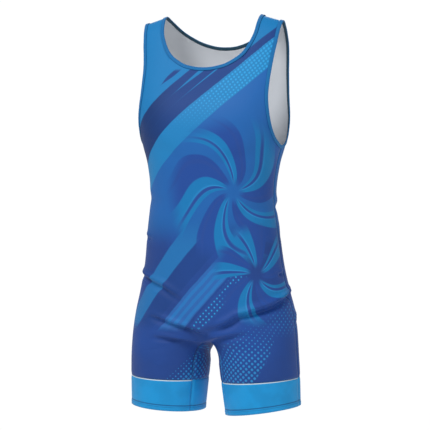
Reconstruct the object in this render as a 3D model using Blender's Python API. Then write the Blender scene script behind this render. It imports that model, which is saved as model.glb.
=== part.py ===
"""Wrestling singlet, filled out as if worn, with no wearer inside.

Metres, +Z up. The front faces -Y and the wearer's left is +X. The origin is midway between the
tops of the two straps, where shoulders carry the garment. "Drop" is the distance below it.

The form is a trunk of rounded rings and two legs of elliptical rings, on a general figure. Its
skin is four quarters, front and back of each side: each is a grid that follows the neck, armhole,
side seam, crotch and inseam. The quarters are welded, split at the seams into the pieces that are
cut, and each piece is given the thickness of its cloth.
"""

import math

import bmesh
import bpy
from mathutils import Vector

# ---- Driving dimensions ----
WALL = 0.0015  # cloth
BINDING_WALL = 0.0024  # tape folded over a cut edge
BINDING_WIDTH = 0.006
SEAM_GAP = 0.0003
TAPE_GAP = 0.0005  # between a tape and the wall that it ends
CROTCH_DROP = 0.655  # where the legs' measure starts
ARCH_DROP = 0.640  # the cloth's own lowest point between the legs
LEG_LENGTH = 0.122  # from the crotch to the hem
BAND_HEIGHT = 0.061  # pale band round each leg
HEM_DEPTH = 0.011  # turned-up edge of the band
HEM_WALL = 0.0021
WEB_DROP = 0.030  # the arch between the legs closes over this length
TIP_Y = -0.040  # where the inseams meet under the crotch
FORK_DROP = {"front": 0.575, "back": 0.560}  # the centre line starts to turn under here
SIDE_FORK_DROP = 0.570
INSEAM_ANGLE = math.radians(-56)  # round a leg from straight ahead; negative is towards the other leg
SHOULDER_FALL = 0.013  # a strap's outer edge below its neck edge
SHOULDER_REACH = 0.150  # the fall has faded out at this drop
HEM_TILT = {1: math.radians(8), -1: math.radians(4)}  # left, right: the inner edge is lower
SIDES = {1: "left", -1: "right"}
FACING = {"front": 1, "back": -1}

# ---- Mesh resolution ----
NECK_COLUMNS, STRAP_COLUMNS, ARMHOLE_COLUMNS = 4, 3, 3  # from the centre line to a side seam
COLUMNS = NECK_COLUMNS + STRAP_COLUMNS + ARMHOLE_COLUMNS
STRAP_ROWS, TRUNK_ROWS, FORK_ROWS, WEB_ROWS, LEG_ROWS, BAND_ROWS = 12, 23, 8, 3, 3, 3
NECK_FOOT = {"front": 0.57, "back": 0.50}  # how far down each edge the strap joins the trunk
ARMHOLE_FOOT = 0.76
RELAX_ROUNDS = 4
RELAX_SHARE = 0.4  # only this far round from the centre line
STEP = 0.001  # for slopes, in shares and levels

# ---- The figure, by drop ----
# drop, half width, y of the side seam, squareness of the ring
TRUNK = (
    (0.000, 0.158, 0.000, 3.0),
    (0.070, 0.158, 0.000, 3.0),
    (0.110, 0.155, 0.000, 3.0),
    (0.160, 0.151, 0.000, 3.0),
    (0.200, 0.149, 0.000, 2.9),
    (0.230, 0.145, 0.000, 2.7),
    (0.255, 0.140, 0.000, 2.6),
    (0.295, 0.130, -0.002, 2.5),
    (0.355, 0.125, -0.005, 2.4),
    (0.423, 0.133, -0.004, 2.35),
    (0.492, 0.141, 0.001, 2.3),
    (0.542, 0.151, 0.004, 2.3),
    (0.581, 0.161, 0.006, 2.3),
    (0.620, 0.168, 0.006, 2.3),
    (0.660, 0.171, 0.004, 2.3),
)
# drop, y of the centre line down the front
FRONT_LINE = (
    (0.000, 0.000),
    (0.006, -0.016),
    (0.022, -0.030),
    (0.050, -0.042),
    (0.080, -0.052),
    (0.105, -0.062),
    (0.140, -0.081),
    (0.175, -0.098),
    (0.210, -0.106),
    (0.250, -0.107),
    (0.300, -0.103),
    (0.350, -0.098),
    (0.400, -0.095),
    (0.450, -0.094),
    (0.500, -0.095),
    (0.540, -0.096),
    (0.600, -0.095),
)
# drop, y of the centre line down the back
BACK_LINE = (
    (0.000, 0.000),
    (0.006, 0.020),
    (0.020, 0.044),
    (0.045, 0.070),
    (0.075, 0.086),
    (0.110, 0.096),
    (0.150, 0.104),
    (0.200, 0.107),
    (0.250, 0.103),
    (0.300, 0.094),
    (0.350, 0.084),
    (0.400, 0.078),
    (0.450, 0.082),
    (0.500, 0.094),
    (0.540, 0.106),
    (0.600, 0.115),
)
# below the crotch, x and y of the leg's middle, half width, half depth
LEG = (
    (-0.100, 0.0830, 0.002, 0.0840, 0.092),
    (0.000, 0.0905, 0.002, 0.0795, 0.090),
    (0.040, 0.0935, 0.004, 0.0785, 0.086),
    (0.080, 0.0965, 0.006, 0.0765, 0.082),
    (0.122, 0.0995, 0.008, 0.0740, 0.078),
)

# ---- The cut edges of one side, from the back over the shoulder to the front ----
# drop, share of the way round from the centre line to the side seam, back (-1) or front (1)
NECK_EDGE = (
    (0.058, 0.000, -1),
    (0.055, 0.110, -1),
    (0.044, 0.225, -1),
    (0.026, 0.320, -1),
    (0.008, 0.370, -1),
    (0.000, 0.384, 1),
    (0.020, 0.374, 1),
    (0.045, 0.353, 1),
    (0.075, 0.291, 1),
    (0.095, 0.190, 1),
    (0.103, 0.090, 1),
    (0.105, 0.000, 1),
)
ARMHOLE_EDGE = (
    (0.256, 1.000, -1),
    (0.251, 0.870, -1),
    (0.237, 0.750, -1),
    (0.208, 0.645, -1),
    (0.170, 0.585, -1),
    (0.130, 0.558, -1),
    (0.080, 0.552, -1),
    (0.040, 0.575, -1),
    (0.000, 0.609, 1),
    (0.040, 0.573, 1),
    (0.080, 0.548, 1),
    (0.130, 0.550, 1),
    (0.170, 0.572, 1),
    (0.208, 0.628, 1),
    (0.237, 0.735, 1),
    (0.251, 0.870, 1),
    (0.256, 1.000, 1),
)

# ---- The largest folds: where the trough starts, bends and ends (x, y, drop), depth and reach ----
FOLDS = {
    "left_hip": ((0.160, -0.020, 0.548), (0.095, -0.085, 0.568), (0.035, -0.092, 0.605), 0.0045, 0.012),
    "right_hip": ((-0.155, -0.030, 0.530), (-0.115, -0.070, 0.545), (-0.070, -0.088, 0.572), 0.0035, 0.012),
    "left_crotch": ((0.100, -0.085, 0.600), (0.055, -0.080, 0.622), (0.016, -0.060, 0.640), 0.0035, 0.011),
    "right_crotch": ((-0.100, -0.085, 0.612), (-0.060, -0.080, 0.624), (-0.016, -0.060, 0.638), 0.0035, 0.011),
    "left_seat": ((0.120, 0.085, 0.610), (0.070, 0.105, 0.632), (0.020, 0.070, 0.640), 0.0040, 0.012),
    "right_seat": ((-0.130, 0.075, 0.600), (-0.075, 0.105, 0.628), (-0.020, 0.070, 0.640), 0.0040, 0.012),
}
LIP_SHARE = 0.4  # the ridge above a trough, as a share of its depth
LIP_RISE = 1.7  # how far above it lies, in reaches

# ---- Colours (linear), for telling the pieces apart ----
PRINTED_BLUE = (0.028, 0.110, 0.400)
BAND_BLUE = (0.014, 0.376, 0.800)
TAPE_BLUE = (0.010, 0.140, 0.390)


def mix(low, high, share):
    """The value that lies this share of the way from low to high."""
    return low + (high - low) * share


def smooth(share):
    """0 to 1 with level ends."""
    share = min(1.0, max(0.0, share))
    return share * share * (3 - 2 * share)


def curve_at(rows, key, column):
    """The smooth curve through a table's column, at that key in the table's first column."""
    last = len(rows) - 2
    i = next((i for i in range(last) if key < rows[i + 1][0]), last)
    before, low = rows[max(i - 1, 0)], rows[i]
    high, after = rows[i + 1], rows[min(i + 2, len(rows) - 1)]
    span = high[0] - low[0]
    t = min(1.0, max(0.0, (key - low[0]) / span))
    start = (high[column] - before[column]) / (high[0] - before[0]) * span
    end = (after[column] - low[column]) / (after[0] - low[0]) * span
    rise = high[column] - low[column]
    return low[column] + t * (start + t * (3 * rise - 2 * start - end + t * (start + end - 2 * rise)))


def rooted(rows):
    """The rows keyed by the root of the drop, in which the rounded top of the shoulder is even."""
    return [(math.sqrt(row[0]), *row[1:]) for row in rows]


TRUNK_BY_ROOT = rooted(TRUNK)
LINE_BY_ROOT = {1: rooted(FRONT_LINE), -1: rooted(BACK_LINE)}

def on_trunk(share, level):
    """The trunk's point at a share of the way from the centre line (0) to the side seam (1).

    The level is the root of the drop, negative on the back, so it runs evenly over the shoulder.
    """
    root = abs(level)
    half_width, seam_y, square = (curve_at(TRUNK_BY_ROOT, root, column) for column in (1, 2, 3))
    middle_y = curve_at(LINE_BY_ROOT[1 if level >= 0 else -1], root, 1)
    angle = share * math.pi / 2
    across, along = math.sin(angle), math.cos(angle)
    reach = (abs(across) ** square + abs(along) ** square) ** (-1 / square)
    x = half_width * across * reach
    y = seam_y + (middle_y - seam_y) * along * reach
    neck_x, tip_x = 0.099, 0.143
    fall = SHOULDER_FALL * max(0.0, (x - neck_x) / (tip_x - neck_x)) * (1 - smooth(root**2 / SHOULDER_REACH))
    return Vector((x, y, -(root**2) - fall))


def on_leg(side, angle, below):
    """The leg's point at an angle round it from straight ahead (outwards is positive)."""
    x, y, half_width, half_depth = (curve_at(LEG, below, column) for column in (1, 2, 3, 4))
    out = half_width * math.sin(angle)
    lift = math.tan(HEM_TILT[side]) * out * smooth(below / LEG_LENGTH)
    return Vector((x + out, y - half_depth * math.cos(angle), lift - CROTCH_DROP - below))


class CutEdge:
    """A neck or armhole edge of one side, read from the shoulder (0) to the front (1) or back (-1) end."""

    SAMPLES = 12  # to each row of the table

    def __init__(self, rows, mirror_share, cloth_side):
        self.cloth_side = cloth_side
        points = [Vector((share, facing * math.sqrt(drop))) for drop, share, facing in rows]
        self.mirror_share = mirror_share
        padded = [self._mirrored(points[1]), *points, self._mirrored(points[-2])]
        self.points = [points[0]]
        for a, b, c, d in zip(padded, padded[1:], padded[2:], padded[3:]):
            for step in range(1, self.SAMPLES + 1):
                t = step / self.SAMPLES
                bend = (2 * a - 5 * b + 4 * c - d) + (3 * b - 3 * c + d - a) * t
                self.points.append(b + 0.5 * t * ((c - a) + bend * t))
        shoulder = next(i for i, row in enumerate(rows) if row[0] == 0) * self.SAMPLES
        solid = [on_trunk(*p) for p in self.points]
        along = [0.0]
        for low, high in zip(solid, solid[1:]):
            along.append(along[-1] + (high - low).length)
        self.reading = [self._read(distance - along[shoulder], along, shoulder) for distance in along]

    def _mirrored(self, point):
        """The same point of the other half of the edge, past its end."""
        return Vector((2 * self.mirror_share - point.x, point.y))

    @staticmethod
    def _read(distance, along, shoulder):
        """The reading at a distance from the shoulder, towards the front if positive."""
        whole = along[-1] - along[shoulder] if distance > 0 else along[shoulder]
        return distance / whole

    def at(self, reading):
        """The share and level at that reading, also a little past either end."""
        if abs(reading) > 1:
            return self._mirrored(self.at(math.copysign(2 - abs(reading), reading)))
        last = len(self.points) - 2
        i = next((i for i in range(last) if reading < self.reading[i + 1]), last)
        span = self.reading[i + 1] - self.reading[i]
        return self.points[i].lerp(self.points[i + 1], (reading - self.reading[i]) / span)

    def inset(self, reading, width):
        """The share and level that lie this far in from the edge, on the side of the cloth."""
        share, level = self.at(reading)
        by_share = (on_trunk(share + STEP, level) - on_trunk(share - STEP, level)) / (2 * STEP)
        by_level = (on_trunk(share, level + STEP) - on_trunk(share, level - STEP)) / (2 * STEP)
        reach = 0.02
        ahead = on_trunk(*self.at(reading + reach)) - on_trunk(*self.at(reading - reach))
        across = by_share.cross(by_level).cross(ahead).normalized() * width * self.cloth_side
        a, b, c = by_share.dot(by_share), by_share.dot(by_level), by_level.dot(by_level)
        d, e = across.dot(by_share), across.dot(by_level)
        whole = a * c - b * b
        return Vector((share + (d * c - e * b) / whole, level + (a * e - b * d) / whole))


NECK = CutEdge(NECK_EDGE, 0.0, -1)
ARMHOLE = CutEdge(ARMHOLE_EDGE, 1.0, 1)


def hermite(start, leave, end, arrive, t):
    """A smooth curve from start to end with those tangents."""
    rise = end - start
    return start + t * (leave + t * (3 * rise - 2 * leave - arrive + t * (leave + arrive - 2 * rise)))


def edge_readings(foot, columns):
    """Where the rows of the strap, then the columns of the trunk, end on a cut edge."""
    strap = [foot * row / STRAP_ROWS for row in range(STRAP_ROWS)]
    return strap + [mix(foot, 1, column / columns) for column in range(columns + 1)]


def strap_rows(face):
    """From the shoulder seam to the row that joins the strap to the trunk."""
    facing, inset = FACING[face], BINDING_WIDTH + TAPE_GAP
    for row in range(STRAP_ROWS + 1):
        left = NECK.inset(facing * NECK_FOOT[face] * row / STRAP_ROWS, inset)
        right = ARMHOLE.inset(facing * ARMHOLE_FOOT * row / STRAP_ROWS, inset)
        yield [on_trunk(*left.lerp(right, column / STRAP_COLUMNS)) for column in range(STRAP_COLUMNS + 1)]


def trunk_top(face):
    """The shares and levels along the neck's foot, the strap's foot and the underarm."""
    facing, inset = FACING[face], BINDING_WIDTH + TAPE_GAP
    neck = edge_readings(NECK_FOOT[face], NECK_COLUMNS)[STRAP_ROWS:]
    top = [NECK.inset(facing * reading, inset) for reading in reversed(neck)]
    arm = edge_readings(ARMHOLE_FOOT, ARMHOLE_COLUMNS)[STRAP_ROWS:]
    arm = [ARMHOLE.inset(facing * reading, inset) for reading in arm]
    top += [top[-1].lerp(arm[0], column / STRAP_COLUMNS) for column in range(1, STRAP_COLUMNS)]
    return top + arm


def trunk_rows(face):
    """From there to the start of the fork, closer together towards the hips."""
    top = trunk_top(face)
    for row in range(TRUNK_ROWS + 1):
        down = row / TRUNK_ROWS
        down *= 1.35 - 0.35 * down
        line = []
        for column, start in enumerate(top):
            share = column / COLUMNS
            drop = mix(start.y**2, mix(FORK_DROP[face], SIDE_FORK_DROP, share), down)
            line.append(on_trunk(mix(start.x, share, down), FACING[face] * math.sqrt(drop)))
        yield line


def leg_angle(face, share):
    """Round the leg from the inseam (0), by the front or the back, to the side seam (1)."""
    return mix(INSEAM_ANGLE, math.pi / 2 if face == "front" else -1.5 * math.pi, share)


def crotch_line(face, side):
    """The centre line from the fork's start to the crotch, then the inseam down the arch."""
    start = on_trunk(0, FACING[face] * math.sqrt(FORK_DROP[face]))
    end = on_leg(side, INSEAM_ANGLE, WEB_DROP)
    for row in range(FORK_ROWS + 1):
        angle = math.pi / 2 * row / FORK_ROWS
        z = mix(start.z, -ARCH_DROP, math.sin(angle))
        yield Vector((0, mix(TIP_Y, start.y, math.cos(angle)), z))
    for row in range(1, WEB_ROWS + 1):
        angle = math.pi / 2 * row / WEB_ROWS
        z = mix(end.z, -ARCH_DROP, math.cos(angle))
        yield Vector((end.x * math.sin(angle), mix(TIP_Y, end.y, math.sin(angle)), z))


def fork_rows(face, side):
    """From the trunk's last ring to the leg's first, closing under the crotch."""
    rows = FORK_ROWS + WEB_ROWS
    inner = list(crotch_line(face, side))
    columns = []
    for column in range(COLUMNS + 1):
        share = column / COLUMNS
        drop = mix(FORK_DROP[face], SIDE_FORK_DROP, share)
        level = FACING[face] * math.sqrt(drop)
        start, end = on_trunk(share, level), on_leg(side, leg_angle(face, share), WEB_DROP)
        length = (end - start).length
        leave = (on_trunk(share, level) - on_trunk(share, level * (1 - STEP))).normalized() * length
        below = on_leg(side, leg_angle(face, share), WEB_DROP + STEP)
        arrive = (below - end).normalized() * length
        curve = [hermite(start, leave, end, arrive, row / rows) for row in range(rows + 1)]
        if not columns:
            pull = [fixed - free for fixed, free in zip(inner, curve)]
        fade = 1 - smooth(share / 0.6)
        columns.append([point + fade * shift for point, shift in zip(curve, pull)])
    for row in range(1, rows + 1):
        yield [column[row] for column in columns]


def leg_rows(face, side):
    """Down the leg, then down the band to the hem."""
    seam = LEG_LENGTH - BAND_HEIGHT
    levels = [mix(WEB_DROP, seam, row / LEG_ROWS) for row in range(1, LEG_ROWS + 1)]
    band = BAND_HEIGHT - HEM_DEPTH
    levels += [seam + band * row / (BAND_ROWS - 1) for row in range(1, BAND_ROWS)] + [LEG_LENGTH]
    for below in levels:
        shares = [column / COLUMNS for column in range(COLUMNS + 1)]
        yield [on_leg(side, leg_angle(face, share), below) for share in shares]


def add_grid(skin, layers, rows, side):
    """Adds a grid through rows of points to the skin, and gives its faces with the row of each."""
    last, width = len(rows) - 1, len(rows[0]) - 1
    old_verts, old_faces = set(skin.verts), set(skin.faces)
    bmesh.ops.create_grid(skin, x_segments=width, y_segments=last, size=0.5)
    faces = [(f, int((f.calc_center_median().y + 0.5) * last)) for f in set(skin.faces) - old_faces]
    for vert in set(skin.verts) - old_verts:
        row, column = round((vert.co.y + 0.5) * last), round((vert.co.x + 0.5) * width)
        vert[layers["wall"]] = HEM_WALL if row > last - 2 and width == COLUMNS else WALL
        in_fork = width == COLUMNS and TRUNK_ROWS < row < last - BAND_ROWS - LEG_ROWS
        vert[layers["relax"]] = int(in_fork and column <= COLUMNS * RELAX_SHARE)
        vert.co = rows[row][column]
        vert.co.x *= side
    return faces, last


def quarter(skin, layers, face, side):
    """Adds the front or back of one side to the skin, and names the piece of each of its faces."""
    strap, _ = add_grid(skin, layers, list(strap_rows(face)), side)
    rows = [*trunk_rows(face), *fork_rows(face, side), *leg_rows(face, side)]
    trunk, last = add_grid(skin, layers, rows, side)
    for polygon, _ in strap:
        polygon[layers["piece"]] = PIECES.index(f"{face}_panel")
    for polygon, row in trunk:
        in_band = row >= last - BAND_ROWS
        polygon[layers["piece"]] = PIECES.index(f"{face}_leg_band_{SIDES[side]}" if in_band else f"{face}_panel")


def fold_shift(point):
    """How far the folds move a point of the skin outwards."""
    shift = 0.0
    for start, bend, end, depth, reach in FOLDS.values():
        line = [Vector((x, y, -drop)) for x, y, drop in (start, bend, end)]
        whole = (line[1] - line[0]).length + (line[2] - line[1]).length
        near, travelled, best = None, 0.0, 1.0
        for low, high in zip(line, line[1:]):
            length = (high - low).length
            along = min(1.0, max(0.0, (point - low).dot(high - low) / length**2))
            foot = low.lerp(high, along)
            if (point - foot).length < best:
                best, near = (point - foot).length, (foot, (travelled + along * length) / whole)
            travelled += length
        foot, share = near
        swell = depth * math.sin(math.pi * mix(0.12, 0.94, share))
        above = (point.z - foot.z) / reach
        shift -= swell * math.exp(-((best / reach) ** 2))
        shift += swell * LIP_SHARE * math.exp(-((best / reach - LIP_RISE) ** 2)) * (above > 0)
    return shift


def taped_points():
    """The points where the cloth meets a tape, each with the direction out of the trunk there."""
    for face, facing in FACING.items():
        neck = (NECK, edge_readings(NECK_FOOT[face], NECK_COLUMNS))
        for edge, readings in (neck, (ARMHOLE, edge_readings(ARMHOLE_FOOT, ARMHOLE_COLUMNS))):
            for reading in readings:
                place_on = edge.inset(facing * reading, BINDING_WIDTH + TAPE_GAP)
                point, out = on_trunk(*place_on), outward(*place_on)
                for side in SIDES:
                    mirror = Vector((side, 1, 1))
                    yield point * mirror, out * mirror


def make_skin():
    """The whole garment as one open surface, with its outward direction kept at every point."""
    skin = bmesh.new()
    layers = {
        "piece": skin.faces.layers.int.new("piece"),
        "wall": skin.verts.layers.float.new("wall"),
        "relax": skin.verts.layers.int.new("relax"),
        "seam": skin.verts.layers.int.new("seam"),
        "out": skin.verts.layers.float_vector.new("out"),
    }
    for face in FACING:
        for side in SIDES:
            quarter(skin, layers, face, side)
    bmesh.ops.remove_doubles(skin, verts=skin.verts, dist=0.0002)
    loose = [v for v in skin.verts if v[layers["relax"]] and not v.is_boundary]
    for _ in range(RELAX_ROUNDS):
        bmesh.ops.smooth_vert(skin, verts=loose, factor=0.5, use_axis_x=True, use_axis_y=True, use_axis_z=True)
    point_outwards(skin)
    for vert, shift in [(v, fold_shift(v.co)) for v in skin.verts]:
        vert.co += vert.normal * shift
    skin.normal_update()
    taped = list(taped_points())
    for vert in skin.verts:
        at_tape = [out for point, out in taped if vert.is_boundary and (vert.co - point).length < SEAM_GAP]
        vert[layers["out"]] = at_tape[0] if at_tape else vert.normal
        vert[layers["seam"]] = int(len({f[layers["piece"]] for f in vert.link_faces}) > 1)
    return skin


def point_outwards(mesh):
    """Turns the faces so that they look away from the middle of the mesh."""
    bmesh.ops.recalc_face_normals(mesh, faces=mesh.faces)
    mesh.normal_update()
    if sum(f.normal.x * f.calc_center_median().x * f.calc_area() for f in mesh.faces) < 0:
        bmesh.ops.reverse_faces(mesh, faces=mesh.faces)
        mesh.normal_update()


def part_seams(piece):
    """Draws a piece's seam edges in by half the gap."""
    seam = piece.verts.layers.int["seam"]
    moves = {}
    for edge in piece.edges:
        if not edge.is_boundary or not all(v[seam] for v in edge.verts):
            continue
        polygon = edge.link_faces[0]
        across = polygon.normal.cross(edge.verts[1].co - edge.verts[0].co).normalized()
        if across.dot(polygon.calc_center_median() - edge.verts[0].co) < 0:
            across.negate()
        for vert in edge.verts:
            moves.setdefault(vert, []).append(across)
    for vert, pulls in moves.items():
        square = 1 + pulls[0].dot(pulls[-1]) if len(pulls) > 1 else 1
        vert.co += sum(pulls, Vector()) / max(square, 0.4) * SEAM_GAP / 2


def thicken(piece, lift=0.0):
    """Gives an open piece its wall, inwards from the skin raised by the lift."""
    wall = piece.verts.layers.float["wall"]
    out = piece.verts.layers.float_vector["out"]
    outer = list(piece.verts)
    grown = bmesh.ops.extrude_face_region(piece, geom=piece.faces[:])["geom"]
    inner = [item for item in grown if isinstance(item, bmesh.types.BMVert)]
    for vert in inner:
        vert.co += vert[out] * (lift - vert[wall])
    for vert in set(outer) - set(inner):
        vert.co += vert[out] * lift
    bmesh.ops.recalc_face_normals(piece, faces=piece.faces)
    if piece.calc_volume(signed=True) < 0:
        bmesh.ops.reverse_faces(piece, faces=piece.faces)


def cut_piece(skin, name):
    """One cut piece of the skin, with its seam edges drawn in and its wall added."""
    piece = skin.copy()
    layer = piece.faces.layers.int["piece"]
    others = [f for f in piece.faces if f[layer] != PIECES.index(name)]
    bmesh.ops.delete(piece, geom=others, context="FACES")
    part_seams(piece)
    thicken(piece)
    return piece


def binding(edge, front, back, sides):
    """A closed tape folded over a cut edge, from its readings on the front and on the back."""
    readings = [-reading for reading in reversed(back)] + front[1:]
    tape = bmesh.new()
    wall = tape.verts.layers.float.new("wall")
    out = tape.verts.layers.float_vector.new("out")
    stations = [(reading, side) for side in sides for reading in readings[::side]]
    bmesh.ops.create_grid(tape, x_segments=1, y_segments=len(stations) - 1, size=0.5)
    for vert in tape.verts:
        reading, side = stations[round((vert.co.y + 0.5) * (len(stations) - 1))]
        width = BINDING_WIDTH * (vert.co.x > 0)
        share, level = edge.inset(reading, width)
        point, normal = on_trunk(share, level), outward(share, level)
        vert[wall] = BINDING_WALL
        vert[out] = Vector((normal.x * side, normal.y, normal.z))
        vert.co = Vector((point.x * side, point.y, point.z))
    bmesh.ops.remove_doubles(tape, verts=tape.verts, dist=0.0002)
    thicken(tape, (BINDING_WALL - WALL) / 2)
    return tape


def outward(share, level):
    """The direction out of the trunk at that point."""
    by_share = on_trunk(share + STEP, level) - on_trunk(share - STEP, level)
    by_level = on_trunk(share, level + STEP) - on_trunk(share, level - STEP)
    return by_level.cross(by_share).normalized()


def paint(name, colour, roughness):
    """A cloth material."""
    material = bpy.data.materials.new(name)
    material.use_nodes = True
    shader = material.node_tree.nodes["Principled BSDF"]
    shader.inputs["Base Color"].default_value = (*colour, 1)
    shader.inputs["Roughness"].default_value = roughness
    shader.inputs["Metallic"].default_value = 0.0
    return material


def place(name, solid, material):
    """Puts a finished solid in the scene as a named object."""
    mesh = bpy.data.meshes.new(name)
    solid.to_mesh(mesh)
    solid.free()
    mesh.shade_smooth()
    mesh.set_sharp_from_angle(angle=math.radians(50))
    mesh.materials.append(material)
    bpy.context.scene.collection.objects.link(bpy.data.objects.new(name, mesh))


PIECES = [f"{face}_panel" for face in FACING]
PIECES += [f"{face}_leg_band_{side}" for face in FACING for side in SIDES.values()]


def main():
    """Cuts, seams and binds the garment."""
    for old in list(bpy.data.objects):
        bpy.data.objects.remove(old)
    printed = paint("printed_stretch_knit", PRINTED_BLUE, 0.55)
    pale = paint("leg_band_knit", BAND_BLUE, 0.5)
    tape = paint("folded_binding_tape", TAPE_BLUE, 0.6)
    skin = make_skin()
    for name in PIECES:
        place(name, cut_piece(skin, name), pale if "band" in name else printed)
    skin.free()
    front, back = (edge_readings(NECK_FOOT[face], NECK_COLUMNS) for face in FACING)
    place("neck_binding", binding(NECK, front, back, (1, -1)), tape)
    readings = edge_readings(ARMHOLE_FOOT, ARMHOLE_COLUMNS)
    for side, label in SIDES.items():
        place(f"armhole_binding_{label}", binding(ARMHOLE, readings, readings, (side,)), tape)


main()
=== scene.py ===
"""Looks of a wrestling singlet: printed stretch knit, bound edges, banded legs, in a soft studio.

Metres, +Z up; the front faces -Y and the wearer's left is +X. "Drop" is the distance below the
tops of the straps. "Share" runs from a centre line (0) to a side seam (1).
"""

import logging
import math
from dataclasses import dataclass, field
from enum import Enum
from typing import Iterator

import bmesh
import bpy
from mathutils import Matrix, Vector


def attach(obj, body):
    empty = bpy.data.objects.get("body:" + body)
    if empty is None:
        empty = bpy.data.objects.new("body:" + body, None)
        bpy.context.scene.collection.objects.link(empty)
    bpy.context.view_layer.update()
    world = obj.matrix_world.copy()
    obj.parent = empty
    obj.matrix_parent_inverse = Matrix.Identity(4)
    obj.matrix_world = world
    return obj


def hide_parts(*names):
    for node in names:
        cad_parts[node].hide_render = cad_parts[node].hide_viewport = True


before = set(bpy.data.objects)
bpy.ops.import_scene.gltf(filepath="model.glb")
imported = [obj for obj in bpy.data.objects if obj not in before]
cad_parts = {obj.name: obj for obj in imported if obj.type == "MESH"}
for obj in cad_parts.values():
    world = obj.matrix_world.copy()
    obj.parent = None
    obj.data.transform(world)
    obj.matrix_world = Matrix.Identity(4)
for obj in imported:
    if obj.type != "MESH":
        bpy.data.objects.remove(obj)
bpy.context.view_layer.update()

LOG = logging.getLogger("singlet")
Row = tuple[float, ...]
Rows = tuple[Row, ...]
STEP = 0.001


class Face(Enum):
    """The two faces of the garment; the value is the sign of their levels."""

    FRONT = 1
    BACK = -1


class Side(Enum):
    """The wearer's left and right; the value is the sign of x."""

    LEFT = 1
    RIGHT = -1


def mix(low: float, high: float, share: float) -> float:
    """The value that lies this share of the way from low to high."""
    return low + (high - low) * share


def smooth(share: float) -> float:
    """0 to 1 with level ends."""
    share = min(1.0, max(0.0, share))
    return share * share * (3 - 2 * share)


def curve_at(rows: list[Row] | Rows, key: float, column: int) -> float:
    """Reads the smooth curve through a table's column.

    Args:
        rows: the table, keyed by its first column.
        key: where to read it.
        column: which column.

    Returns:
        The value there.
    """
    last = len(rows) - 2
    i = next((i for i in range(last) if key < rows[i + 1][0]), last)
    before, low = rows[max(i - 1, 0)], rows[i]
    high, after = rows[i + 1], rows[min(i + 2, len(rows) - 1)]
    span = high[0] - low[0]
    t = min(1.0, max(0.0, (key - low[0]) / span))
    start = (high[column] - before[column]) / (high[0] - before[0]) * span
    end = (after[column] - low[column]) / (after[0] - low[0]) * span
    rise = high[column] - low[column]
    return low[column] + t * (start + t * (3 * rise - 2 * start - end + t * (start + end - 2 * rise)))


def rooted(rows: Rows) -> list[Row]:
    """The rows keyed by the root of the drop, in which the top of the shoulder is even."""
    return [(math.sqrt(row[0]), *row[1:]) for row in rows]


def hermite(start: Vector, leave: Vector, end: Vector, arrive: Vector, t: float) -> Vector:
    """The point at t of a smooth curve from start to end with those tangents."""
    rise = end - start
    return start + t * (leave + t * (3 * rise - 2 * leave - arrive + t * (leave + arrive - 2 * rise)))


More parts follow.
